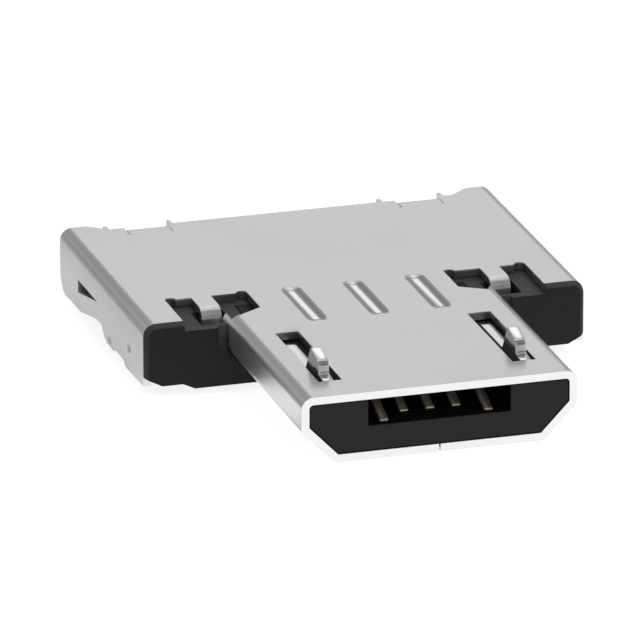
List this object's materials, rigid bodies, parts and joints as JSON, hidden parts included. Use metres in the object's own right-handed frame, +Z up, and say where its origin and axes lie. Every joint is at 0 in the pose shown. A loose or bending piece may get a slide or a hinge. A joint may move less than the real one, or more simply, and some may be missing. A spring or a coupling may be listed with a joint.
{
  "type": "usb otg adapter",
  "caption": "Slide-in adapter: a flat folded metal shell over a black moulding, with a narrow latched plug nose in front and spring contacts underneath.",
  "frame": {"origin": "centre of the underside of the bounding box, on the plane the part rests on", "axes": "+Y from the plug nose to the body's rear edge, +Z up through the plate, +X across"},
  "size_m": [0.011, 0.0132, 0.0024],
  "materials": {
    "shell_metal": "plain bright nickel plate",
    "latch_metal": "plain bright nickel plate",
    "housing_black": "fine moulded, slightly satin",
    "insulator_black": "fine moulded, slightly satin",
    "contact_gold": "thin gold plate",
    "spring_gold": "thin gold plate"
  },
  "bodies": {
    "root": {"base_housing": "housing_black", "latch_left": "latch_metal", "latch_right": "latch_metal", "metal_shell": "shell_metal", "plug_contact_data_minus": "contact_gold", "plug_contact_data_plus": "contact_gold", "plug_contact_ground": "contact_gold", "plug_contact_id": "contact_gold", "plug_contact_vbus": "contact_gold", "plug_insulator": "insulator_black", "usb_a_spring_data_minus": "spring_gold", "usb_a_spring_data_plus": "spring_gold", "usb_a_spring_ground": "spring_gold", "usb_a_spring_vbus": "spring_gold"}
  },
  "joints": []
}
